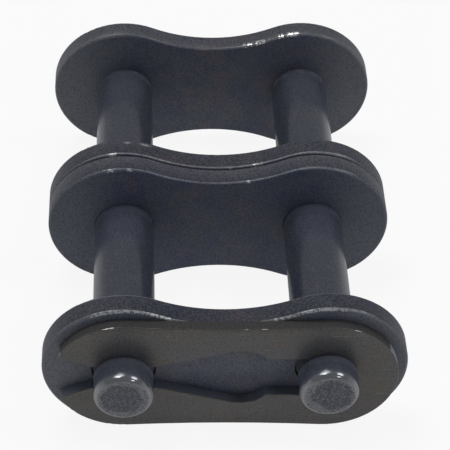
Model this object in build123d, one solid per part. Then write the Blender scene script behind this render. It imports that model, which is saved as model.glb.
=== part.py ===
"""Two-strand roller chain connecting link with a spring clip, 12.7 mm pitch.

Frame: X runs along the chain from pin to pin, Y along the pins with the
clip side at -Y, Z up. The link stands on the round ends of its plates at
Z = 0, and the origin is under the middle of the whole link. Millimetres.
"""
from build123d import *
from math import asin, degrees, hypot, sqrt
import os

# chain size
PITCH = 12.7                  # pin centre to pin centre
PIN_D = 3.97                  # pin shank
STRAND_GAP = 11.5             # clear width between two plates, one strand's seat

# plates, all four cut from the same blank
PLATE_T = 1.5
PLATE_LOBE_R = 5.1            # round end, centred on the pin
PLATE_WAIST = 3.79            # half height at the middle of the plate
PLATE_EDGE_R = 0.2            # tumbled outer edge
MIDDLE_GAP = 0.06             # seam between the two middle plates

# fits, all radial
SLIDE_PLAY = 0.02             # middle plates slide on the pins
COVER_PLAY = 0.035            # cover plate slips over the pin ends

# spring clip
CLIP_T = 0.7
CLIP_LOBE_R = 4.45
CLIP_WAIST = 4.27
CLIP_EDGE_R = 0.06
CLIP_TIP_R = 0.25
SOCKET_R = 1.45               # seat in the legs for the left pin's groove
NECK = 0.95                   # half opening beside that seat
NECK_REACH = 2.0              # how far the neck runs from the pin centre
MOUTH = 2.25                  # half opening at the split end
BULGE = 2.34                  # half opening that lets a pin head through
BULGE_X = 0.9
BULGE_SPAN = 1.05             # half width of the bulge's round top
BULGE_RISE = 0.2              # height of that top above its shoulders
SLOT = 1.62                   # half opening from the bulge to the closed end
SLOT_START_X = 2.6
SAG_LEFT = 0.06               # the loose clip hangs this far below the left pin's axis
SAG_RIGHT = 0.24              # and this far below the right pin's
SPLIT_RUNOUT = 0.5            # the slot's cut runs this far out of the split end

# pins
GROOVE_R = 1.35               # bottom of the clip groove
GROOVE_END_PLAY = 0.03        # groove's front wall to clip
GROOVE_SET_BACK = 0.25        # groove's back wall behind the cover plate's face
HEAD_R = 1.88                 # end of the pin in front of the groove
HEAD_ROUND_R = 0.33           # its rounded edge, across the pin
HEAD_ROUND_Y = 0.6            # and along the pin
LEFT_REACH = 2.6              # pin end in front of the cover plate
RIGHT_REACH = 2.5
RIVET_R = 2.25
RIVET_H = 0.6
RIVET_TOP_R = 1.55
DIMPLE_R = 0.8
DIMPLE_DEPTH = 0.2

# places worked out from the sizes above
HALF_PITCH = PITCH / 2
PIN_R = PIN_D / 2
PIN_Z = PLATE_LOBE_R
OVERALL = LEFT_REACH + 4 * PLATE_T + 2 * STRAND_GAP + MIDDLE_GAP + RIVET_H
COVER_FRONT = LEFT_REACH - OVERALL / 2
COVER_BACK = COVER_FRONT + PLATE_T
FRONT_MIDDLE_FRONT = COVER_BACK + STRAND_GAP
REAR_MIDDLE_FRONT = FRONT_MIDDLE_FRONT + PLATE_T + MIDDLE_GAP
BACK_FRONT = REAR_MIDDLE_FRONT + PLATE_T + STRAND_GAP
BACK_BACK = BACK_FRONT + PLATE_T


def lobed_outline(lobe_r, waist):
    """Closed outline of two round ends joined by hollow waists, as four arcs."""
    waist_r = (HALF_PITCH**2 + waist**2 - lobe_r**2) / (2 * (lobe_r - waist))
    waist_z = waist + waist_r
    reach = hypot(HALF_PITCH, waist_z)
    tangent_x = HALF_PITCH - lobe_r * HALF_PITCH / reach
    tangent_z = lobe_r * waist_z / reach
    end_x = HALF_PITCH + lobe_r
    right_end = ThreePointArc((tangent_x, -tangent_z), (end_x, 0), (tangent_x, tangent_z))
    top = ThreePointArc((tangent_x, tangent_z), (0, waist), (-tangent_x, tangent_z))
    left_end = ThreePointArc((-tangent_x, tangent_z), (-end_x, 0), (-tangent_x, -tangent_z))
    bottom = ThreePointArc((-tangent_x, -tangent_z), (0, -waist), (tangent_x, -tangent_z))
    return make_face([right_end, top, left_end, bottom])


def upright(face, back_y, thickness):
    """Stand a flat face up across the pins and thicken it towards -Y."""
    plane = Plane(origin=(0, back_y, PIN_Z), x_dir=(1, 0, 0), z_dir=(0, -1, 0))
    return extrude(plane * face, amount=thickness)


def plate(front_y, hole_play):
    """One link plate with its two punched pin holes."""
    back_y = front_y + PLATE_T
    body = upright(lobed_outline(PLATE_LOBE_R, PLATE_WAIST), back_y, PLATE_T)
    body = fillet(body.edges().filter_by(GeomType.CIRCLE), PLATE_EDGE_R)
    hole = Circle(PIN_R + hole_play)
    for x in (-HALF_PITCH, HALF_PITCH):
        body -= upright(Pos(x, 0) * hole, back_y, PLATE_T)
    return body


def slot_side(side):
    """Edge of the clip's slot above (side 1) or below (side -1) the pin axes."""
    left = -HALF_PITCH
    split_x = left - CLIP_LOBE_R - SPLIT_RUNOUT
    half_seat = sqrt(SOCKET_R**2 - NECK**2)
    bulge_shoulder = BULGE - BULGE_RISE
    mouth = (split_x, side * MOUTH)
    neck_start = (left - NECK_REACH, side * NECK)
    seat_start = (left - half_seat, side * NECK)
    seat_top = (left, side * SOCKET_R)
    seat_end = (left + half_seat, side * NECK)
    neck_end = (left + NECK_REACH, side * NECK)
    bulge_start = (BULGE_X - BULGE_SPAN, side * bulge_shoulder)
    bulge_top = (BULGE_X, side * BULGE)
    bulge_end = (BULGE_X + BULGE_SPAN, side * bulge_shoulder)
    slot_start = (SLOT_START_X, side * SLOT)
    slot_end = (HALF_PITCH, side * SLOT)
    return [
        Line(mouth, neck_start),
        Line(neck_start, seat_start),
        ThreePointArc(seat_start, seat_top, seat_end),
        Line(seat_end, neck_end),
        Line(neck_end, bulge_start),
        ThreePointArc(bulge_start, bulge_top, bulge_end),
        Line(bulge_end, slot_start),
        Line(slot_start, slot_end),
    ]


def clip_slot():
    """The keyhole slot: split mouth, seat, wide middle and round closed end."""
    upper = slot_side(1)
    lower = slot_side(-1)
    mouth = Line(upper[0] @ 0, lower[0] @ 0)
    closed_end = ThreePointArc((HALF_PITCH, SLOT), (HALF_PITCH + SLOT, 0), (HALF_PITCH, -SLOT))
    return make_face(upper + [closed_end] + lower + [mouth])


def spring_clip():
    """Flat spring clip that hangs a little low and tilted in the pin grooves."""
    face = lobed_outline(CLIP_LOBE_R, CLIP_WAIST) - clip_slot()
    tips = face.vertices().sort_by(Axis.X)[:2]
    face = fillet(tips, CLIP_TIP_R)
    body = upright(face, COVER_FRONT, CLIP_T)
    body = fillet(body.faces().sort_by(Axis.Y)[0].edges(), CLIP_EDGE_R)
    drop = (SAG_LEFT + SAG_RIGHT) / 2
    tilt = degrees(asin((SAG_RIGHT - SAG_LEFT) / PITCH))
    pivot = Pos(0, 0, PIN_Z)
    return Pos(0, 0, -drop) * pivot * Rot(0, tilt, 0) * pivot.inverse() * body


def pin(x, reach):
    """Pin turned about Y: riveted end, shank, clip groove and rounded front end."""
    end_y = COVER_FRONT - reach
    groove_front = COVER_FRONT - CLIP_T - GROOVE_END_PLAY
    groove_back = COVER_FRONT + GROOVE_SET_BACK
    rivet_y = BACK_BACK + RIVET_H
    profile = [
        Line((0, end_y), (HEAD_R - HEAD_ROUND_R, end_y)),
        EllipticalCenterArc(
            (HEAD_R - HEAD_ROUND_R, end_y + HEAD_ROUND_Y),
            HEAD_ROUND_R,
            HEAD_ROUND_Y,
            start_angle=-90,
            arc_size=90,
        ),
        Line((HEAD_R, end_y + HEAD_ROUND_Y), (HEAD_R, groove_front)),
        Line((HEAD_R, groove_front), (GROOVE_R, groove_front)),
        Line((GROOVE_R, groove_front), (GROOVE_R, groove_back)),
        Line((GROOVE_R, groove_back), (PIN_R, groove_back)),
        Line((PIN_R, groove_back), (PIN_R, BACK_BACK)),
        Line((PIN_R, BACK_BACK), (RIVET_R, BACK_BACK)),
        TangentArc((RIVET_TOP_R, rivet_y), (RIVET_R, BACK_BACK), tangent=(1, 0)),
        Line((RIVET_TOP_R, rivet_y), (DIMPLE_R, rivet_y)),
        Line((DIMPLE_R, rivet_y), (0, rivet_y - DIMPLE_DEPTH)),
        Line((0, rivet_y - DIMPLE_DEPTH), (0, end_y)),
    ]
    body = revolve(make_face(profile), axis=Axis.Y)
    return Pos(x, 0, PIN_Z) * body


NODES = {
    "back_plate": plate(BACK_FRONT, 0),
    "left_pin": pin(-HALF_PITCH, LEFT_REACH),
    "right_pin": pin(HALF_PITCH, RIGHT_REACH),
    "rear_middle_plate": plate(REAR_MIDDLE_FRONT, SLIDE_PLAY),
    "front_middle_plate": plate(FRONT_MIDDLE_FRONT, SLIDE_PLAY),
    "cover_plate": plate(COVER_FRONT, COVER_PLAY),
    "spring_clip": spring_clip(),
}

os.makedirs("parts", exist_ok=True)
for name, shape in NODES.items():
    export_step(shape, f"parts/{name}.step")
    box = shape.bounding_box()
    print(name, round(shape.volume, 2), "mm3", box.min, box.max)
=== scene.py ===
# %% [markdown]
# # Connecting link for two-strand roller chain
# The link joins the ends of a duplex chain. Two pins are riveted in the back
# plate, two loose middle plates sit between the strands, and a cover plate is
# held on at the front by a flat spring clip in grooves near the pins' ends.
# The shapes could be modelled here, but the exact solids come packed from the
# CAD model, so this lesson loads them, gives each piece the finish of the real
# one, and sets up the studio.

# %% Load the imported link
import math

import bpy
from mathutils import Matrix, Vector

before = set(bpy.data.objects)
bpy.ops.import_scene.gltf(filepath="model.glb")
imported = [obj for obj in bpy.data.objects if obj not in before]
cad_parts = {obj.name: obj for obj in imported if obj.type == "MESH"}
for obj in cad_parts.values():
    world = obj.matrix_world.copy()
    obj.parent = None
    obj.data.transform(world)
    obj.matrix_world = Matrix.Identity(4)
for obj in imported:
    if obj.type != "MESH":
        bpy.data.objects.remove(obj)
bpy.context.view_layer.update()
print("solids:", sorted(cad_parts))

# %% [markdown]
# ## Camera
# A long lens a short way above and in front of the link keeps the two strands
# nearly parallel, as in a catalogue picture. A camera can be turned with Euler
# angles or a tracking constraint. Here it is aimed by its azimuth, elevation
# and roll round a target point, because these turn one at a time and are easy
# to correct.

# %% Camera values
MM = 0.001
IMAGE_PIXELS = 450
CAMERA_AZIMUTH = -3.3186
CAMERA_ELEVATION = 42.8568
CAMERA_ROLL = 1.8603
CAMERA_DISTANCE = 127.37 * MM
CAMERA_TARGET = Vector((0.4915, 0.44, 4.271)) * MM
FOCAL_PIXELS = 1867.27
NEAREST_SEEN = 0.01
print("the lens is", round(FOCAL_PIXELS / IMAGE_PIXELS, 2), "times as long as the picture is wide")

# %% Camera axes
def camera_axes(azimuth, elevation, roll):
    """Right, up and back directions of a camera or lamp turned round the object."""
    a, e, r = (math.radians(angle) for angle in (azimuth, elevation, roll))
    back = Vector((math.sin(a) * math.cos(e), -math.cos(a) * math.cos(e), math.sin(e)))
    level = Vector((math.cos(a), math.sin(a), 0))
    upright = back.cross(level)
    right = math.cos(r) * level + math.sin(r) * upright
    up = math.cos(r) * upright - math.sin(r) * level
    return right, up, back


def aimed(target, distance, azimuth, elevation, roll=0.0):
    """The place and turn of a camera or lamp that looks at a target from a distance."""
    right, up, back = camera_axes(azimuth, elevation, roll)
    turn = Matrix((right, up, back)).transposed().to_4x4()
    return Matrix.Translation(target + distance * back) @ turn


print("camera stands towards", [round(v, 2) for v in camera_axes(CAMERA_AZIMUTH, CAMERA_ELEVATION, 0)[2]])

# %% Aim the camera
camera_data = bpy.data.cameras.new("camera")
camera_data.lens = FOCAL_PIXELS / IMAGE_PIXELS * camera_data.sensor_width
camera_data.clip_start = NEAREST_SEEN
camera = bpy.data.objects.new("camera", camera_data)
camera.matrix_world = aimed(CAMERA_TARGET, CAMERA_DISTANCE, CAMERA_AZIMUTH, CAMERA_ELEVATION, CAMERA_ROLL)
bpy.context.scene.collection.objects.link(camera)
bpy.context.scene.camera = camera
bpy.context.scene.view_settings.view_transform = "Standard"
print("camera at", [round(v / MM, 1) for v in camera.location], "mm")

# %% [markdown]
# ## Small helpers for materials
# The finishes are oxides and rubbed edges, with painted shade, painted light
# and painted reflections in places, none of which has a seam or a printed
# pattern. They could be painted images. Here each one is a few noise patterns
# in the object's own coordinates, because these stay sharp at any size and
# need no unwrapping. The helpers below add a node and fill its sockets, so that
# a finish reads as a recipe.

# %% Add a node
def add_node(tree, kind, sockets=None, **settings):
    """Add a shader node, set its settings, and fill or link its sockets."""
    node = tree.nodes.new(kind)
    for name, value in settings.items():
        setattr(node, name, value)
    for name, value in (sockets or {}).items():
        if isinstance(value, bpy.types.NodeSocket):
            tree.links.new(value, node.inputs[name])
        else:
            node.inputs[name].default_value = value
    return node


print("nodes can be added")

# %% Arithmetic and blends
def math_node(tree, operation, first, second=0.0):
    """One arithmetic step between two values or sockets."""
    return add_node(tree, "ShaderNodeMath", {0: first, 1: second}, operation=operation).outputs[0]


def product(tree, first, *factors):
    """Masks and shares multiplied: the result is only high where all of them are."""
    for factor in factors:
        first = math_node(tree, "MULTIPLY", first, factor)
    return first


def larger(tree, first, second):
    """The larger of two masks: high where either of them is."""
    return math_node(tree, "MAXIMUM", first, second)


def remap(tree, value, low, high, out_low=0.0, out_high=1.0):
    """Stretch a value from low..high to out_low..out_high, smoothly and clamped."""
    sockets = {"Value": value, "From Min": low, "From Max": high, "To Min": out_low, "To Max": out_high}
    return add_node(tree, "ShaderNodeMapRange", sockets, interpolation_type="SMOOTHSTEP").outputs["Result"]


def mix_colour(tree, share, first, second):
    """Blend two colours: share 0 gives the first, share 1 the second."""
    return add_node(tree, "ShaderNodeMix", {0: share, 6: first, 7: second}, data_type="RGBA").outputs[2]


def colour(red, green, blue):
    """A colour with full alpha, in linear values."""
    return (red, green, blue, 1.0)


print("values and colours can be mixed")

# %% Places and patterns
def millimetres(tree, stretch=(1, 1, 1)):
    """Object coordinates in millimetres, stretched if asked."""
    coordinates = add_node(tree, "ShaderNodeTexCoord")
    scale = [factor / MM for factor in stretch]
    mapping = add_node(tree, "ShaderNodeMapping", {"Vector": coordinates.outputs["Object"], "Scale": scale})
    return mapping.outputs["Vector"]


def axis_value(tree, place, axis):
    """One coordinate in millimetres."""
    return add_node(tree, "ShaderNodeSeparateXYZ", {0: place}).outputs[axis]


def grain(tree, place, per_mm, detail=3.0, roughness=0.55, seed=0.0):
    """Noise between 0 and 1 with about per_mm grains in a millimetre."""
    sockets = {"Vector": place, "Scale": per_mm, "Detail": detail, "Roughness": roughness, "W": seed}
    return add_node(tree, "ShaderNodeTexNoise", sockets, noise_dimensions="4D").outputs["Fac"]


def in_spans(tree, value, spans, soft=0.08):
    """1 where the value lies in one of the (start, end) spans, with soft ends."""
    inside = 0.0
    for start, end in spans:
        begins = remap(tree, value, start - soft, start + soft)
        stops = remap(tree, value, end + soft, end - soft)
        inside = larger(tree, inside, product(tree, begins, stops))
    return inside


print("patterns are set in millimetres")

# %% [markdown]
# ## Faces, rims and rounded edges
# The pins run along Y. So the flat faces of the plates and the clip look along
# Y, their rims look across it, and the narrow band between the two is the
# rounded edge, where the oxide wears off first. Each could be its own material
# slot. The surface's direction tells them apart too, with no mesh edits and
# with soft borders, as wear has.

# %% Read the surface's direction
def direction(tree, axis):
    """The surface's direction along one axis of the link, from -1 to 1."""
    normal = add_node(tree, "ShaderNodeTexCoord").outputs["Normal"]
    return add_node(tree, "ShaderNodeSeparateXYZ", {0: normal}).outputs[axis]


def facing_y(tree):
    """How squarely the surface faces along the pins: 1 on flat faces, 0 on rims."""
    return math_node(tree, "ABSOLUTE", direction(tree, "Y"))


def rim_mask(tree):
    """1 on the rims round the plates and the clip, 0 on their flat faces."""
    return remap(tree, facing_y(tree), 0.6, 0.1)


def edge_line(tree, rear_edges=1.0):
    """1 on a narrow line along the rounded edges, and a share on those that face away from the clip."""
    front = math_node(tree, "MULTIPLY", direction(tree, "Y"), -1.0)
    rear = math_node(tree, "MULTIPLY", direction(tree, "Y"), rear_edges)
    facing = larger(tree, front, rear)
    return product(tree, remap(tree, facing, 0.2, 0.4), remap(tree, facing, 0.8, 0.62))


print("faces, rims and edges can be told apart")

# %% Start and end a finish
def start_finish(name, ior, gloss_tint):
    """A material with its node tree, its shader and millimetre coordinates."""
    material = bpy.data.materials.new(name)
    material.use_nodes = True
    tree = material.node_tree
    shader = tree.nodes["Principled BSDF"]
    shader.inputs["IOR"].default_value = ior
    shader.inputs["Specular Tint"].default_value = gloss_tint
    return material, tree, shader, millimetres(tree)


def end_finish(tree, shader, skin, bare, roughness, height, bump_strength, bump_mm):
    """Join the colour, the share of bare metal, the roughness and the fine relief to the shader."""
    relief = {"Strength": bump_strength, "Distance": bump_mm * MM, "Height": height}
    normal = add_node(tree, "ShaderNodeBump", relief).outputs["Normal"]
    sockets = {"Base Color": skin, "Metallic": bare, "Roughness": roughness, "Normal": normal}
    for name, value in sockets.items():
        tree.links.new(value, shader.inputs[name])


print("finishes can be started and ended")

# %% [markdown]
# ## Blackened plate steel
# Link plates are blanked from strip, tumbled and blackened. The oxide is a thin
# blue-black skin with clouds of plum and olive. It could be a metal with a dark
# colour. It is closer to a satin paint, so it is made as a dark colour under a
# clear reflection, and only the worn flecks are metal.

# %% Plate colours
OXIDE_BLUE = colour(0.069, 0.080, 0.126)
OXIDE_GREY = colour(0.097, 0.101, 0.130)
OXIDE_PLUM = colour(0.128, 0.098, 0.116)
OXIDE_OLIVE = colour(0.088, 0.104, 0.104)
# painted light: the flat faces are made lighter towards the plates' ends, where more light reaches them
PAINTED_LIGHT_AT_ENDS = colour(0.145, 0.147, 0.168)
RIM_PLUM = colour(0.085, 0.060, 0.078)
RIM_OLIVE = colour(0.050, 0.060, 0.052)
RIM_ENDS = colour(0.15, 0.155, 0.17)
FACE_PITS = colour(0.045, 0.050, 0.070)
RIM_PITS = colour(0.008, 0.009, 0.014)
LIGHT_GRAINS = colour(0.15, 0.155, 0.185)
print("plate oxide from", OXIDE_BLUE[:3], "to", OXIDE_GREY[:3])

# %% Clouds in the oxide
def outward(tree, place):
    """Distance in millimetres from the middle of the link towards either end."""
    return math_node(tree, "ABSOLUTE", axis_value(tree, place, "X"))


def plum_cloud(tree, place):
    """Large soft clouds where the oxide turns plum."""
    return grain(tree, place, 0.8, detail=2.0, seed=4.0)


def olive_cloud(tree, place):
    """Smaller clouds where it turns olive."""
    return remap(tree, grain(tree, place, 0.9, detail=2.0, seed=17.0), 0.56, 0.72, 0.0, 0.7)


def plate_oxide(tree, place):
    """The blue-black skin of the flat faces, with painted light making it greyer towards the plate's ends."""
    cloud = grain(tree, place, 0.5, detail=5.0)
    skin = mix_colour(tree, remap(tree, cloud, 0.35, 0.65), OXIDE_BLUE, OXIDE_GREY)
    skin = mix_colour(tree, remap(tree, plum_cloud(tree, place), 0.5, 0.7, 0.0, 0.8), skin, OXIDE_PLUM)
    skin = mix_colour(tree, olive_cloud(tree, place), skin, OXIDE_OLIVE)
    return mix_colour(tree, remap(tree, outward(tree, place), 5.5, 10.5, 0.0, 0.9), skin, PAINTED_LIGHT_AT_ENDS)


print("oxide clouds ready")

# %% Tumbled rims
EDGE_ROUND = 0.1
RIM_WIDTH = 1.3
SPECKLE_MEAN, DEEP_PITS, HIGH_GRAINS = 0.5, 0.38, 0.62


def blue_grey(level, extra_blue):
    """A grey of a given level with a little less red and a little more blue."""
    return colour(level - 0.002, level, level + extra_blue)


def tumbled_rim(tree, place, front_y, rim_front, rim_back):
    """The rim's colour, as light as rim_front at its front edge and as rim_back at its back edge."""
    from_edge = math_node(tree, "SUBTRACT", axis_value(tree, place, "Y"), front_y + EDGE_ROUND)
    depth = math_node(tree, "DIVIDE", from_edge, RIM_WIDTH)
    rim = mix_colour(tree, depth, blue_grey(rim_front, 0.012), blue_grey(rim_back, 0.018))
    rim = mix_colour(tree, remap(tree, plum_cloud(tree, place), 0.45, 0.7, 0.0, 0.3), rim, RIM_PLUM)
    rim = mix_colour(tree, product(tree, olive_cloud(tree, place), 0.4), rim, RIM_OLIVE)
    return mix_colour(tree, remap(tree, outward(tree, place), 3.5, 9.0, 0.0, 0.08), rim, RIM_ENDS)


def speckle_plate(tree, skin, speckle, rim):
    """Dark pits and light grains of the tumbled surface."""
    dark = remap(tree, speckle, SPECKLE_MEAN, DEEP_PITS, 0.0, 0.6)
    light = remap(tree, speckle, SPECKLE_MEAN, HIGH_GRAINS)
    light = product(tree, light, remap(tree, rim, 0.0, 1.0, 0.4, 0.3))
    skin = mix_colour(tree, dark, skin, mix_colour(tree, rim, FACE_PITS, RIM_PITS))
    return mix_colour(tree, light, skin, LIGHT_GRAINS)


print("rims are", RIM_WIDTH, "mm wide between their rounded edges")

# %% [markdown]
# ## Wear on the plates
# Handling rubs the oxide off the rounded edges first: a thin grey line all
# along them, which is also a painted highlight on those edges, grey patches on
# the upper rim, and short bright flecks where the steel is bare. An edge-wear
# texture could be baked from the mesh. The edges are already known from the
# surface's direction, so a noise that breaks the line up is enough, and spans
# of X say where the larger marks are.

# %% Worn lines and patches
UPPER_Z = (6.0, 7.0)
LOBE_START_X, LOBE_X = 8.2, 9.4
# the line along the edges is partly worn steel and partly a painted highlight
WORN_STEEL_AND_HIGHLIGHT = colour(0.25, 0.255, 0.27)
RUBBED_GREY = colour(0.20, 0.20, 0.20)
SCUFF_GREY = colour(0.34, 0.34, 0.35)
SCUFF_Y = [(2.08, 2.26)]
SCUFF_X = [(-6.3, -5.8), (-5.3, -4.6)]
PATCH_DEPTH = 0.65
BETWEEN_PATCHES, IN_PATCHES = 0.25, 0.6


def high_up(tree, place):
    """1 on the upper part of the link, above the pins' middle lines."""
    return remap(tree, axis_value(tree, place, "Z"), *UPPER_Z)


def upper_rim(tree, place):
    """1 on the upper rim and its rounded edges, 0 on the flat faces and lower down."""
    return product(tree, high_up(tree, place), remap(tree, facing_y(tree), 0.99, 0.93))


def wear_and_highlight_lines(tree, place, skin, line, line_wear_and_highlight):
    """Rub a broken grey line along the edges, partly wear and partly a painted highlight, fainter round the
    plate's ends.
    """
    uneven = remap(tree, grain(tree, place, 6.0, seed=9.0), 0.35, 0.6, 0.3, 1.0)
    to_ends = remap(tree, outward(tree, place), LOBE_START_X, LOBE_X, line_wear_and_highlight, 0.1)
    return mix_colour(tree, product(tree, line, uneven, to_ends), skin, WORN_STEEL_AND_HIGHLIGHT)


def wear_patches(tree, place, skin, front_y, patches):
    """Rub the front part of the upper rim grey, most of all inside the patches."""
    near_front = remap(tree, axis_value(tree, place, "Y"), front_y + PATCH_DEPTH, front_y + EDGE_ROUND)
    inside = in_spans(tree, axis_value(tree, place, "X"), patches, soft=0.4)
    worn = remap(tree, inside, 0.0, 1.0, BETWEEN_PATCHES, IN_PATCHES)
    uneven = remap(tree, grain(tree, place, 4.0, seed=22.0), 0.35, 0.6, 0.2, 0.9)
    share = product(tree, upper_rim(tree, place), near_front, worn, uneven)
    return mix_colour(tree, share, skin, RUBBED_GREY)


def scuff_rim(tree, place, skin, scuff):
    """Two scuffs near the back edge of the rear middle plate's rim."""
    spot = product(
        tree,
        in_spans(tree, axis_value(tree, place, "Y"), SCUFF_Y),
        in_spans(tree, axis_value(tree, place, "X"), SCUFF_X, soft=0.2),
        upper_rim(tree, place),
    )
    uneven = remap(tree, grain(tree, place, 4.0, seed=19.0), 0.35, 0.6, 0.2, scuff)
    return mix_colour(tree, product(tree, spot, uneven), skin, SCUFF_GREY)


print("worn lines, patches and scuffs ready")

# %% Bare flecks and painted seam shade
BARE_STEEL = colour(0.62, 0.62, 0.62)
# painted shade: the dark seam between the two middle plates
SEAM_PAINTED_SHADE = colour(0.006, 0.008, 0.015)
FLECK_SOFT = 0.06


def bare_flecks(tree, place, line, front_y, bare_spans, reach, bare_share):
    """1 where the steel is bare: in the bare_spans of X as far back as reach, and sprinkled on the edges."""
    sprinkle = grain(tree, millimetres(tree, (0.5, 1, 1)), 2.0, detail=2.0, seed=8.0)
    sprinkled = product(tree, remap(tree, sprinkle, 0.72, 0.76), remap(tree, outward(tree, place), 8.7, 8.3))
    back_y = front_y + reach
    fleck = product(
        tree,
        upper_rim(tree, place),
        remap(tree, axis_value(tree, place, "Y"), back_y + FLECK_SOFT, back_y),
        in_spans(tree, axis_value(tree, place, "X"), bare_spans),
        remap(tree, grain(tree, place, 6.0, seed=18.0), 0.45, 0.52, 0.0, bare_share),
    )
    return larger(tree, fleck, product(tree, line, sprinkled))


def paint_seam_shade(tree, skin, seam_shade):
    """Painted shade in the seam between the middle plates: on the edges that face away from the clip, or
    towards it where seam_shade is below 0.
    """
    seam = product(tree, direction(tree, "Y"), seam_shade)
    share = product(tree, remap(tree, seam, 0.15, 0.35), remap(tree, facing_y(tree), 0.999, 0.98))
    return mix_colour(tree, share, skin, SEAM_PAINTED_SHADE)


print("bare flecks and grime ready")

# %% [markdown]
# ## Cover plate behind the clip's slot
# The clip's two legs leave a slot, through which the cover plate's face shows.
# Painted shade darkens the slot's foot and the plate by the right pin, painted
# light lifts the corner under that pin, and a warm painted reflection of the
# upper leg lies close under it. A second material on a cut-out face could do
# it. Four soft marks in X and Z on the plate's front are simpler, and leave the
# solid as it is.

# %% Tones in the slot
SHADE_BY_PIN_SHARE = 0.5
# in order: painted shade by the right pin, painted light in the corner under it, painted shade at the slot's
# foot, warm painted reflection of the upper leg
SLOT_TONES = [
    # spans of X, their softness, colour
    ([(3.2, 5.0)], 0.8, colour(0.026, 0.031, 0.056)),
    ([(2.8, 5.4)], 0.6, colour(0.14, 0.17, 0.27)),
    ([(-2.5, 3.0)], 0.8, colour(0.020, 0.024, 0.040)),
    ([(-4.0, 4.5)], 0.6, colour(0.108, 0.102, 0.096)),
]


def slot_tones(tree, place, skin):
    """Painted shade by the right pin, painted light in the corner under it, painted shade at the slot's foot
    and a warm painted reflection at the slot's top.
    """
    x, z = axis_value(tree, place, "X"), axis_value(tree, place, "Z")
    front = remap(tree, direction(tree, "Y"), -0.5, -0.9)
    heights = [
        product(tree, in_spans(tree, z, [(3.4, 4.9)], soft=0.6), SHADE_BY_PIN_SHARE),
        remap(tree, z, 3.7, 3.1, 0.0, 0.9),
        remap(tree, z, 5.1, 4.1, 0.0, 0.3),
        remap(tree, z, 5.8, 6.6, 0.0, 0.85),
    ]
    for (spans, soft, tone), height in zip(SLOT_TONES, heights):
        mark = product(tree, in_spans(tree, x, spans, soft), height, front)
        skin = mix_colour(tree, mark, skin, tone)
    return skin


print("slot tones:", len(SLOT_TONES))

# %% [markdown]
# ## The four plates' finish
# All plates get one recipe, because they were blackened in one bath. What
# differs is where each one is worn and where painted shade and light are laid
# on it, so those values are its arguments. The recipe could be a node group,
# but a function keeps the values of each plate next to its name.

# %% Plate finish
PLATE_IOR = 1.33
PLATE_GLOSS = colour(1.0, 1.0, 0.94)
PLATE_SATIN = 0.5
PLATE_POLISHED = 0.24


def plate_steel(
    name,
    front_y,
    rim_front,
    rim_back,
    bare_spans,
    reach=0.1,
    bare_share=0.7,
    patches=(),
    line_wear_and_highlight=1.0,
    rear_edges=1.0,
    scuff=0.0,
    seam_shade=0.0,
    film=0.0,
    film_colour=OXIDE_BLUE,
    behind_slot=False,
):
    """Satin blue-black oxide with worn edges.

    front_y is where the plate's front face stands, in millimetres. rim_front
    and rim_back are how light the rim is at its front and back edge. bare_spans,
    reach and bare_share place the bare flecks, patches the grey ones.
    line_wear_and_highlight and rear_edges are how strong the line along the
    edges is, everywhere and on the edges that face away from the clip; the line
    is partly wear and partly a painted highlight. scuff is the strength of the
    scuffs, and seam_shade that of the painted shade in the seam between the
    middle plates, which darkens the edges that face away from the clip, or those
    that face it where seam_shade is below 0. film lays a share of film_colour
    over the faces, and behind_slot adds the painted shade, painted light and
    painted reflection that the clip's slot shows.
    """
    material, tree, shader, place = start_finish(name, PLATE_IOR, PLATE_GLOSS)
    rim = rim_mask(tree)
    line = edge_line(tree, rear_edges)
    speckle = grain(tree, place, 8.0, detail=3.0, roughness=0.6, seed=3.0)
    skin = plate_oxide(tree, place)
    if film:
        skin = mix_colour(tree, film, skin, film_colour)
    if behind_slot:
        skin = slot_tones(tree, place, skin)
    worn_rim = tumbled_rim(tree, place, front_y, rim_front, rim_back)
    skin = mix_colour(tree, product(tree, rim, 0.9), skin, worn_rim)
    skin = speckle_plate(tree, skin, speckle, rim)
    skin = wear_and_highlight_lines(tree, place, skin, line, line_wear_and_highlight)
    if patches:
        skin = wear_patches(tree, place, skin, front_y, patches)
    bare = bare_flecks(tree, place, line, front_y, bare_spans, reach, bare_share)
    skin = mix_colour(tree, bare, skin, BARE_STEEL)
    if scuff:
        skin = scuff_rim(tree, place, skin, scuff)
    if seam_shade:
        skin = paint_seam_shade(tree, skin, seam_shade)
    polished = product(tree, edge_line(tree), remap(tree, outward(tree, place), LOBE_X, LOBE_START_X))
    roughness = remap(tree, polished, 0.0, 1.0, PLATE_SATIN, PLATE_POLISHED)
    end_finish(tree, shader, skin, bare, roughness, speckle, bump_strength=0.5, bump_mm=0.012)
    return material


print("plate recipe ready")

# %% [markdown]
# ## Ground pin steel
# The pins are ground before they are blackened, so they are smoother than the
# plates and mirror them. Their colour changes along the length: painted light,
# bluer, on their tops just in front of the plates and paler still where they
# meet the plates, where the plates' shadow falls; painted light in the left
# pin's groove, which lies in shade, and a dull groove on both; and on the heads
# a painted light that fades from the clip to the end. It could be four
# materials on four stretches of the pin. One material that reads Y has softer
# borders, as the real pins have.

# %% Pin colours
PIN_OXIDE = colour(0.042, 0.048, 0.067)
PIN_CLOUD = colour(0.048, 0.052, 0.070)
# painted light: the pins' tops are lightened just in front of the plates, where the plates' shadow falls, and
# more where they meet them
PIN_PAINTED_LIGHT_FRONT = colour(0.062, 0.068, 0.098)
PIN_PAINTED_LIGHT_REAR = colour(0.063, 0.069, 0.090)
PIN_BRIGHTER_PAINTED_LIGHT = colour(0.115, 0.125, 0.165)
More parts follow.
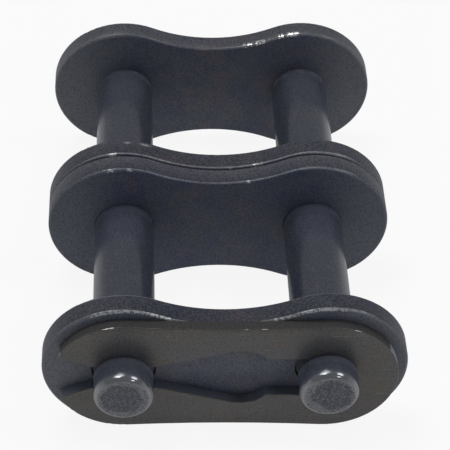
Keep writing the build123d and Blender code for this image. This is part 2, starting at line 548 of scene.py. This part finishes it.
# painted light: the heads are lightened, most of all next to the clip
HEAD_PAINTED_LIGHT_BY_CLIP = colour(0.145, 0.158, 0.200)
HEAD_PAINTED_LIGHT_BY_END = colour(0.060, 0.068, 0.092)
END_MIDDLE = colour(0.050, 0.045, 0.068)
END_RING = colour(0.25, 0.25, 0.26)
PIN_PITS = colour(0.028, 0.030, 0.042)
END_PITS = colour(0.014, 0.013, 0.024)
PIN_GRAINS = colour(0.16, 0.158, 0.18)
PRESS_MARKS = colour(0.17, 0.17, 0.18)
# painted light: the left pin's groove, which lies in shade, is made lighter than the right one's
GROOVE_PAINTED_LIGHT_LEFT = colour(0.16, 0.17, 0.21)
GROOVE_RIGHT = colour(0.055, 0.060, 0.080)
POLISH_ABOVE = colour(0.18, 0.185, 0.20)
POLISH_BELOW = colour(0.27, 0.272, 0.275)
print("pin oxide", PIN_OXIDE[:3])

# %% Skin along a pin
# stretches of Y with painted light on the pins, where the plates' shadow falls
PAINTED_LIGHT_SPANS = [(-4.1, -0.5), (10.6, 14.0)]
BRIGHTER_PAINTED_LIGHT_SPANS = [(-1.0, -0.5), (13.5, 14.1)]
HEAD_Y = -14.3
HEAD_END_Y = -15.1
GROOVE_Y = -13.1
BACK_PLATE_Y = 14.0
PRESS_MARKS_Y = 13.5


def pin_skin(tree, place):
    """The ground shank's oxide, with painted light on its stretches by the plates and a painted light along
    its head, fading towards the end.
    """
    y = axis_value(tree, place, "Y")
    cloud = grain(tree, place, 0.6, detail=4.0, seed=5.0)
    skin = mix_colour(tree, remap(tree, cloud, 0.3, 0.7), PIN_OXIDE, PIN_CLOUD)
    # painted light on the pins' tops by the plates, and all round where they meet them
    upward = remap(tree, direction(tree, "Z"), 0.65, 0.9)
    blue = product(tree, in_spans(tree, y, PAINTED_LIGHT_SPANS, soft=0.8), upward)
    blue_tone = mix_colour(tree, remap(tree, y, 0.0, 1.0), PIN_PAINTED_LIGHT_FRONT, PIN_PAINTED_LIGHT_REAR)
    skin = mix_colour(tree, blue, skin, blue_tone)
    skin = mix_colour(tree, in_spans(tree, y, BRIGHTER_PAINTED_LIGHT_SPANS, soft=0.45), skin, PIN_BRIGHTER_PAINTED_LIGHT)
    # painted light on the head, strongest by the clip and fading to the end
    head = mix_colour(tree, remap(tree, y, HEAD_Y - 0.05, HEAD_END_Y), HEAD_PAINTED_LIGHT_BY_CLIP, HEAD_PAINTED_LIGHT_BY_END)
    return mix_colour(tree, remap(tree, y, HEAD_Y, HEAD_Y - 0.1, 0.0, 0.8), skin, head)


def press_marks(tree, place, skin):
    """Pale marks where the pins were pressed into the back plate."""
    y = axis_value(tree, place, "Y")
    uneven = remap(tree, grain(tree, place, 2.2, seed=21.0), 0.54, 0.60, 0.0, 0.6)
    in_front = remap(tree, y, BACK_PLATE_Y, BACK_PLATE_Y - 0.05)
    marks = product(tree, remap(tree, y, PRESS_MARKS_Y, PRESS_MARKS_Y + 0.2), in_front, uneven)
    return mix_colour(tree, marks, skin, PRESS_MARKS)


def groove_mask(tree, place):
    """1 where the cover plate and the clip sit on the pins, behind the heads."""
    y = axis_value(tree, place, "Y")
    return product(tree, remap(tree, y, GROOVE_Y, GROOVE_Y - 0.1), remap(tree, y, HEAD_Y, HEAD_Y + 0.05))


print("heads start at Y", HEAD_Y, "mm")

# %% [markdown]
# ## Cut ends of the pins
# The pins' ends are rougher than their shanks: a mottled dark middle inside a
# ring that handling has rubbed light, and a polished rounding. The ring could
# be a separate face. Here it is a distance from the pin's own middle line, and
# a noise added to that distance makes its inner border ragged.

# %% Rings on the ends
PIN_X, PIN_Z = 6.35, 5.1
RUBBED_X, RUBBED_Z = 6.5, 5.2
RUBBED_START, RUBBED_FULL = 1.15, 1.4
END_FLAT_R = 1.55
END_Y = 15.2
PIN_DEEP_PITS = 0.4


def distance_from(tree, place, middle_x, middle_z):
    """Distance in millimetres from a line along Y, the same on both pins."""
    x = math_node(tree, "ABSOLUTE", axis_value(tree, place, "X"))
    across = math_node(tree, "SUBTRACT", x, middle_x)
    above = math_node(tree, "SUBTRACT", axis_value(tree, place, "Z"), middle_z)
    squares = [math_node(tree, "POWER", side, 2.0) for side in (across, above)]
    return math_node(tree, "SQRT", math_node(tree, "ADD", *squares))


def beyond_end(tree, place):
    """1 past END_Y at either end of the pins."""
    along = math_node(tree, "ABSOLUTE", axis_value(tree, place, "Y"))
    return remap(tree, along, END_Y, END_Y + 0.1)


def light_ring(tree, place):
    """How far the end's flat is rubbed light, from its middle to its edge."""
    uneven = product(tree, math_node(tree, "SUBTRACT", grain(tree, place, 1.4, seed=7.0), 0.5), 0.9)
    ragged = math_node(tree, "ADD", distance_from(tree, place, RUBBED_X, RUBBED_Z), uneven)
    rubbed = remap(tree, ragged, RUBBED_START, RUBBED_FULL, 0.0, 0.6)
    from_middle = distance_from(tree, place, PIN_X, PIN_Z)
    return larger(tree, rubbed, remap(tree, from_middle, END_FLAT_R - 0.12, END_FLAT_R - 0.04, 0.0, 0.9))


def speckle_pin(tree, skin, speckle, end):
    """Fine pits and light grains, stronger on the cut ends."""
    dark = remap(tree, speckle, SPECKLE_MEAN, PIN_DEEP_PITS)
    light = remap(tree, speckle, SPECKLE_MEAN, HIGH_GRAINS)
    dark = product(tree, dark, remap(tree, end, 0.0, 1.0, 0.35, 0.8))
    light = product(tree, light, remap(tree, end, 0.0, 1.0, 0.25, 0.8))
    skin = mix_colour(tree, dark, skin, mix_colour(tree, end, PIN_PITS, END_PITS))
    return mix_colour(tree, light, skin, PIN_GRAINS)


print("end flats are", 2 * END_FLAT_R, "mm wide")

# %% Pin finish
PIN_IOR = 1.52
PIN_GLOSS = colour(1.0, 1.0, 0.97)
SHANK_ROUGHNESS = 0.21
END_ROUGHNESS = 0.42
GROOVE_ROUGHNESS = 0.9
DULL_ROUNDING = 0.4
BRIGHT_ROUNDING = 0.13


def pin_steel():
    """Smooth blue-black oxide on ground steel, mottled on the cut ends."""
    material, tree, shader, place = start_finish("pin_steel_finish", PIN_IOR, PIN_GLOSS)
    speckle = grain(tree, millimetres(tree, (0.7, 1, 1.1)), 9.0, detail=3.0, roughness=0.7, seed=6.0)
    facing, past_end = facing_y(tree), beyond_end(tree, place)
    end = product(tree, remap(tree, facing, 0.75, 0.97), past_end)
    rounding = product(tree, remap(tree, facing, 0.12, 0.4), remap(tree, facing, 0.995, 0.9), past_end)
    lower = remap(tree, axis_value(tree, place, "Z"), 6.5, 5.7)
    groove = groove_mask(tree, place)
    skin = pin_skin(tree, place)
    skin = mix_colour(tree, product(tree, end, 0.6), skin, END_MIDDLE)
    skin = mix_colour(tree, product(tree, end, light_ring(tree, place)), skin, END_RING)
    skin = speckle_pin(tree, skin, speckle, end)
    skin = press_marks(tree, place, skin)
    # painted light in the left pin's groove, which lies in shade
    to_right = remap(tree, axis_value(tree, place, "X"), -1.0, 1.0)
    skin = mix_colour(tree, groove, skin, mix_colour(tree, to_right, GROOVE_PAINTED_LIGHT_LEFT, GROOVE_RIGHT))
    skin = mix_colour(tree, rounding, skin, mix_colour(tree, lower, POLISH_ABOVE, POLISH_BELOW))
    bare = product(tree, rounding, remap(tree, lower, 0.0, 1.0, 1.0, 0.4))
    satin = remap(tree, end, 0.0, 1.0, SHANK_ROUGHNESS, END_ROUGHNESS)
    satin = larger(tree, satin, product(tree, groove, GROOVE_ROUGHNESS))
    satin = larger(tree, satin, product(tree, rounding, lower, DULL_ROUNDING))
    bright = product(tree, rounding, math_node(tree, "SUBTRACT", 1.0, lower))
    polish = remap(tree, bright, 0.0, 1.0, 0.6, BRIGHT_ROUNDING)
    roughness = math_node(tree, "MINIMUM", satin, polish)
    end_finish(tree, shader, skin, bare, roughness, speckle, bump_strength=0.2, bump_mm=0.01)
    return material


print("pin recipe ready")

# %% [markdown]
# ## Spring clip steel
# The clip is punched from hardened and tempered strip. Its skin is a warmer,
# shinier grey than the plates, with faint brown and olive tempering tints and a
# few fine scratches along its length. Its sheared rims are duller. A brushed
# metal would be too bright, so the warmth comes from a tinted reflection over a
# dark grey.

# %% Clip colours
CLIP_GREY = colour(0.068, 0.071, 0.084)
CLIP_BLUE_GREY = colour(0.061, 0.068, 0.082)
CLIP_BROWN = colour(0.100, 0.062, 0.066)
CLIP_OLIVE = colour(0.062, 0.072, 0.048)
CLIP_RIM_DARK = colour(0.008, 0.011, 0.020)
CLIP_RIM_LIGHT = colour(0.028, 0.030, 0.036)
# painted light: the slot's walls, which lie in shade, are lighter than the other rims, most of all by the
# right pin
SLOT_WALL_PAINTED_LIGHT_LEFT = colour(0.115, 0.128, 0.165)
SLOT_WALL_PAINTED_LIGHT_RIGHT = colour(0.20, 0.215, 0.25)
CLIP_BLUED = colour(0.066, 0.073, 0.104)
# painted light: the lowest part of the clip is lightened where its reflection of the floor is shaded
LOWER_LEG_PAINTED_LIGHT = colour(0.16, 0.16, 0.17)
CLIP_PITS = colour(0.012, 0.012, 0.012)
CLIP_GRAINS = colour(0.13, 0.12, 0.11)
CLIP_SCRATCHES = colour(0.3, 0.29, 0.28)
CLIP_BARE = colour(0.6, 0.59, 0.57)
print("clip grey", CLIP_GREY[:3])

# %% Tempered faces of the clip
SLOT_MIDDLE = 4.9
SLOT_REACH = 2.4
BLUED_X = [(-3.8, 4.6)]


def slot_height(tree, place):
    """1 at the height of the clip's slot, 0 above and below it."""
    away = math_node(tree, "ABSOLUTE", math_node(tree, "SUBTRACT", axis_value(tree, place, "Z"), SLOT_MIDDLE))
    return remap(tree, away, SLOT_REACH, SLOT_REACH - 0.2)


def tempered_face(tree, place):
    """Warm grey with clouds of brown and olive."""
    cloud = grain(tree, place, 0.5, detail=4.0, seed=11.0)
    skin = mix_colour(tree, remap(tree, cloud, 0.35, 0.65), CLIP_GREY, CLIP_BLUE_GREY)
    brown = remap(tree, grain(tree, place, 0.9, detail=2.0, seed=13.0), 0.5, 0.75, 0.0, 0.6)
    skin = mix_colour(tree, brown, skin, CLIP_BROWN)
    olive = remap(tree, grain(tree, place, 1.1, detail=2.0, seed=16.0), 0.55, 0.75, 0.0, 0.7)
    return mix_colour(tree, olive, skin, CLIP_OLIVE)


def blue_upper_leg(tree, place, skin):
    """A ragged blue zone on the upper leg, over the slot."""
    x, z = axis_value(tree, place, "X"), axis_value(tree, place, "Z")
    ragged = math_node(tree, "ADD", z, grain(tree, place, 1.5, seed=23.0))
    zone = product(tree, remap(tree, ragged, 8.9, 7.5, 0.0, 0.75), remap(tree, z, 4.8, 5.2))
    return mix_colour(tree, product(tree, zone, in_spans(tree, x, BLUED_X, soft=0.8)), skin, CLIP_BLUED)


def speckle_clip(tree, skin, speckle, face):
    """Pits, light grains and lengthwise scratches on the faces."""
    scratch = grain(tree, millimetres(tree, (0.35, 1, 9)), 1.6, detail=2.0, seed=14.0)
    marks = [
        (remap(tree, speckle, SPECKLE_MEAN, DEEP_PITS, 0.0, 0.6), CLIP_PITS),
        (remap(tree, speckle, SPECKLE_MEAN, HIGH_GRAINS, 0.0, 0.4), CLIP_GRAINS),
        (remap(tree, scratch, 0.66, 0.74, 0.0, 0.5), CLIP_SCRATCHES),
    ]
    for share, tone in marks:
        skin = mix_colour(tree, product(tree, share, face), skin, tone)
    return skin


print("the slot reaches", SLOT_REACH, "mm above and below Z", SLOT_MIDDLE, "mm")

# %% Bare edges of the clip
# the first span, at the upper leg's left tip, is a painted highlight; the others are bare flecks
CLIP_FLECKS_AND_TIP_GLINT_X = [(-10.4, -10.2), (-7.6, -6.9), (1.1, 1.25), (2.1, 2.45), (7.8, 8.2)]
SHOULDER_X = [(2.4, 2.9), (3.3, 4.3)]


def clip_bare_edges(tree, place):
    """1 where the clip's edges are rubbed bare: on its top, on the slot's shoulder and here and there; the
    top also carries a painted highlight at the upper leg's tip.
    """
    x, z = axis_value(tree, place, "X"), axis_value(tree, place, "Z")
    slot = slot_height(tree, place)
    top = product(tree, in_spans(tree, x, CLIP_FLECKS_AND_TIP_GLINT_X), high_up(tree, place))
    low = remap(tree, z, 4.2, 3.8, 0.0, 0.35)
    shoulder = product(tree, in_spans(tree, x, SHOULDER_X, soft=0.2), low, slot)
    sprinkle = grain(tree, millimetres(tree, (0.4, 1, 1)), 1.6, detail=1.0, seed=15.0)
    sprinkled = product(tree, remap(tree, sprinkle, 0.64, 0.69), math_node(tree, "SUBTRACT", 1.0, slot))
    return product(tree, edge_line(tree), larger(tree, larger(tree, top, shoulder), sprinkled))


print("bare stretches on the clip:", len(CLIP_FLECKS_AND_TIP_GLINT_X + SHOULDER_X))

# %% Clip finish
CLIP_IOR = 1.6
CLIP_GLOSS = colour(1.0, 0.88, 0.68)
CLIP_FACE_ROUGHNESS = 0.33
CLIP_RIM_ROUGHNESS = 0.8


def clip_steel():
    """Satin warm grey with tempering tints and fine scratches."""
    material, tree, shader, place = start_finish("clip_steel_finish", CLIP_IOR, CLIP_GLOSS)
    x, z = axis_value(tree, place, "X"), axis_value(tree, place, "Z")
    rim = rim_mask(tree)
    speckle = grain(tree, place, 8.0, detail=4.0, roughness=0.7, seed=12.0)
    sheared = mix_colour(tree, remap(tree, speckle, 0.4, 0.6), CLIP_RIM_DARK, CLIP_RIM_LIGHT)
    skin = mix_colour(tree, product(tree, rim, 0.9), tempered_face(tree, place), sheared)
    # painted light on the slot's walls, stronger towards the right pin
    wall = mix_colour(tree, remap(tree, x, 2.2, 3.2), SLOT_WALL_PAINTED_LIGHT_LEFT, SLOT_WALL_PAINTED_LIGHT_RIGHT)
    skin = mix_colour(tree, product(tree, rim, slot_height(tree, place)), skin, wall)
    skin = blue_upper_leg(tree, place, skin)
    # painted light on the lowest part of the clip
    skin = mix_colour(tree, remap(tree, z, 3.2, 2.2, 0.0, 0.17), skin, LOWER_LEG_PAINTED_LIGHT)
    # painted shade: the face darkens towards its top edge, in the sheared rim's colour
    skin = mix_colour(tree, remap(tree, z, 8.75, 9.3, 0.0, 0.5), skin, sheared)
    skin = speckle_clip(tree, skin, speckle, remap(tree, rim, 0.3, 0.0))
    bare = clip_bare_edges(tree, place)
    skin = mix_colour(tree, bare, skin, CLIP_BARE)
    roughness = remap(tree, rim, 0.0, 1.0, CLIP_FACE_ROUGHNESS, CLIP_RIM_ROUGHNESS)
    end_finish(tree, shader, skin, bare, roughness, speckle, bump_strength=0.3, bump_mm=0.01)
    return material


print("clip recipe ready")

# %% [markdown]
# ## Finishes on the solids
# Seven solids get six finishes, since the two pins share one. The finish could
# be chosen by a solid's place or size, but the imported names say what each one
# is, so a table by name is the surest way.

# %% The plates' own wear
plate_finishes = {
    "back_plate": plate_steel(
        "back_plate_finish",
        front_y=14.03,
        rim_front=0.074,
        rim_back=0.074,
        bare_spans=[(2.2, 2.8), (3.1, 3.7), (4.7, 5.1), (5.3, 6.1)],
        reach=0.3,
        bare_share=1.0,
        patches=[(-8.1, -6.6), (-1.1, -0.4), (2.0, 6.3)],
        line_wear_and_highlight=0.35,
    ),
    "rear_middle_plate": plate_steel(
        "rear_middle_plate_finish",
        front_y=1.03,
        rim_front=0.028,
        rim_back=0.046,
        bare_spans=[(-7.4, -6.8), (0.7, 0.8), (2.2, 2.9)],
        rear_edges=0.0,
        scuff=0.9,
        seam_shade=-0.25,
    ),
    "front_middle_plate": plate_steel(
        "front_middle_plate_finish",
        front_y=-0.53,
        rim_front=0.026,
        rim_back=0.094,
        bare_spans=[(-7.4, -7.0), (-6.1, -5.8), (1.8, 2.1)],
        line_wear_and_highlight=0.65,
        rear_edges=0.0,
        seam_shade=1.0,
        film=0.2,
        film_colour=colour(0.015, 0.035, 0.10),
    ),
    "cover_plate": plate_steel(
        "cover_plate_finish",
        front_y=-13.53,
        rim_front=0.020,
        rim_back=0.032,
        bare_spans=[(-8.3, -3.4), (2.9, 7.3)],
        bare_share=0.5,
        line_wear_and_highlight=0.75,
        film=0.14,
        film_colour=colour(0.17, 0.175, 0.20),
        behind_slot=True,
    ),
}
print("plates:", sorted(plate_finishes))

# %% Give each solid its finish
pin_finish = pin_steel()
finish_of_node = {
    **plate_finishes,
    "left_pin": pin_finish,
    "right_pin": pin_finish,
    "spring_clip": clip_steel(),
}
for name, finish in finish_of_node.items():
    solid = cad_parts[name]
    solid.data.materials.clear()
    solid.data.materials.append(finish)
print("finished:", sorted(finish_of_node))

# %% [markdown]
# ## Floor
# The link stands on a sheet of pale paper. A plain diffuse sheet would come out
# grey under lamps that suit dark steel. So the paper glows a little, and by how
# much depends on who looks: nearly white for the camera, less for the light
# that it throws on the steel, and least in the steel's reflections, which
# would wash the oxide out. The rest is its own shading, which keeps the shadow.

# %% Floor
FLOOR_SIZE = 1.6
FLOOR_Z = -0.02 * MM
PAPER = colour(0.85, 0.85, 0.85)
WHITE = colour(1, 1, 1)
WHITE_TO_CAMERA = 0.9
WHITE_TO_STEEL = 0.5
WHITE_IN_REFLECTIONS = 0.24


def floor_paper():
    """Pale paper that looks nearly white but keeps its shadows."""
    material = bpy.data.materials.new("floor_paper")
    material.use_nodes = True
    tree = material.node_tree
    tree.nodes.clear()
    paper = add_node(tree, "ShaderNodeBsdfDiffuse", {"Color": PAPER})
    white = add_node(tree, "ShaderNodeEmission", {"Color": WHITE, "Strength": 1.0})
    rays = add_node(tree, "ShaderNodeLightPath").outputs
    share = remap(tree, rays["Is Glossy Ray"], 0.0, 1.0, WHITE_TO_STEEL, WHITE_IN_REFLECTIONS)
    share = larger(tree, share, product(tree, rays["Is Camera Ray"], WHITE_TO_CAMERA))
    blend = add_node(tree, "ShaderNodeMixShader", {0: share, 1: paper.outputs[0], 2: white.outputs[0]})
    add_node(tree, "ShaderNodeOutputMaterial", {"Surface": blend.outputs[0]})
    return material


bpy.ops.mesh.primitive_plane_add(size=FLOOR_SIZE, location=(0, 0, FLOOR_Z))
floor = bpy.context.object
floor.name = "floor"
floor.data.materials.append(floor_paper())
print("floor", FLOOR_SIZE, "m wide")

# %% [markdown]
# ## World
# A studio's walls do two things: they light the link softly from the sides, and
# they stand in its reflections and behind it. One background strength can't
# suit both. The kind of ray picks the strength: white behind the link, a
# middling white in reflections, and a faint blue light from either side, which
# leaves the faces that look ahead dark.

# %% World
AMBIENT_AHEAD = 0.05
AMBIENT_SIDES = 0.6
SKY_IN_REFLECTIONS = 0.42
SKY_BLUE = colour(0.68, 0.84, 1.0)


def white_world():
    """White to look at, softer in reflections, and faint blue as light."""
    world = bpy.data.worlds.new("studio")
    world.use_nodes = True
    tree = world.node_tree
    tree.nodes.clear()
    heading = add_node(tree, "ShaderNodeTexCoord").outputs["Generated"]
    parts = add_node(tree, "ShaderNodeSeparateXYZ", {0: heading}).outputs
    level = remap(tree, math_node(tree, "ABSOLUTE", parts["Z"]), 0.6, 0.2)
    sideways = product(tree, remap(tree, math_node(tree, "ABSOLUTE", parts["X"]), 0.3, 0.95), level)
    ambient = remap(tree, sideways, 0.0, 1.0, AMBIENT_AHEAD, AMBIENT_SIDES)
    rays = add_node(tree, "ShaderNodeLightPath").outputs
    looked_at = larger(tree, rays["Is Camera Ray"], rays["Is Transmission Ray"])
    seen = larger(tree, looked_at, product(tree, rays["Is Glossy Ray"], SKY_IN_REFLECTIONS))
    tint = mix_colour(tree, math_node(tree, "GREATER_THAN", seen, 0.0), SKY_BLUE, WHITE)
    light = add_node(tree, "ShaderNodeBackground", {"Color": tint, "Strength": larger(tree, seen, ambient)})
    add_node(tree, "ShaderNodeOutputWorld", {"Surface": light.outputs[0]})
    return world


bpy.context.scene.world = white_world()
print("world ready")

# %% [markdown]
# ## Lamps
# Three soft boxes light the link: a broad one high up behind it on the left,
# for the upper rims, one on its right, and a small one in front on the right.
# Point lamps would do for the shading. But the lamps are also mirrored as
# glints in the pins' polished roundings, so they are area lamps, each as large
# as its glint asks.

# %% Lamps
LAMP_DISTANCE = 0.5
LAMPS = {
    # azimuth, elevation, width and height in metres, watts
    "lamp_overhead": (-128, 72, 0.28, 0.19, 1.15),
    "lamp_right": (93, 53, 0.18, 0.16, 0.40),
    "lamp_front": (42, 42, 0.11, 0.07, 0.15),
}


def soft_lamp(name, azimuth, elevation, width, height, watts):
    """A rectangular soft box aimed at the middle of the link."""
    data = bpy.data.lights.new(name, "AREA")
    data.shape = "RECTANGLE"
    data.size = width
    data.size_y = height
    data.energy = watts
    lamp = bpy.data.objects.new(name, data)
    lamp.matrix_world = aimed(Vector((0, 0, 0)), LAMP_DISTANCE, azimuth, elevation)
    bpy.context.scene.collection.objects.link(lamp)


for lamp_name, values in LAMPS.items():
    soft_lamp(lamp_name, *values)
print("lamps:", sorted(LAMPS))
